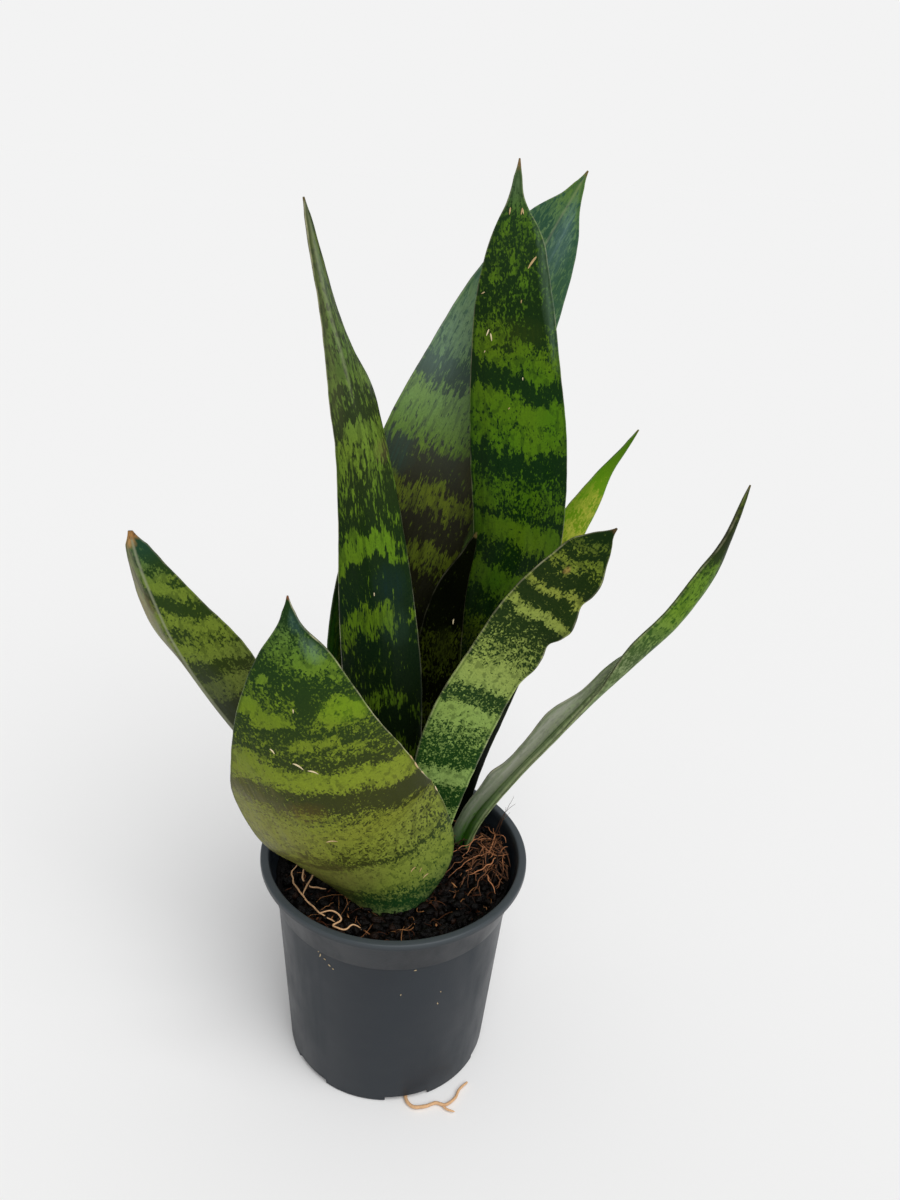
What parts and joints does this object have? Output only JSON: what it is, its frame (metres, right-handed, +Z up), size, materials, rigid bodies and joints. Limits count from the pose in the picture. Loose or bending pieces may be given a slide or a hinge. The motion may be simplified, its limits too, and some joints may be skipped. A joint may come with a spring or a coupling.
{
  "type": "potted snake plant",
  "caption": "Young snake plant with banded upright and arching pointed leaves, growing from dark peat in a small round tapered nursery pot with a rolled rim and drain notches.",
  "frame": {"origin": "on the pot's axis, in the plane of its foot, at the middle of the small centre pad that stands level with the foot ring", "axes": "+Z up along the pot's axis; -Y is the plant's front, where the broad short leaf stands; +X is to the right seen from the front, where the arching leaf reaches out"},
  "size_m": [0.1166, 0.06, 0.1981],
  "materials": {
    "pot_plastic": "thin moulded polypropylene, satin, dark blue-grey, dusty with a few pale specks",
    "peat": "moist dark crumbly peat with brown fibres",
    "pale_root": "dry tan roots",
    "leaf_olive": "waxy succulent leaf, olive green with dark green cross bands",
    "leaf_dark": "waxy succulent leaf, dark green with darker streaked cross bands and a grey sheen",
    "leaf_light": "waxy succulent leaf, light green with distinct dark green bands and a pale margin",
    "coir": "coarse orange-brown fibre"
  },
  "bodies": {
    "root": {"pot": "pot_plastic", "soil": "peat", "rhizome": "pale_root", "leaf_front": "leaf_olive", "leaf_left": "leaf_olive", "leaf_tall_left": "leaf_dark", "leaf_back": "leaf_dark", "leaf_centre": "leaf_dark", "leaf_young": "leaf_dark", "leaf_behind_right": "leaf_light", "leaf_right": "leaf_light", "leaf_arching": "leaf_light", "curly_roots": "pale_root", "coir_fibres": "coir"}
  },
  "joints": []
}
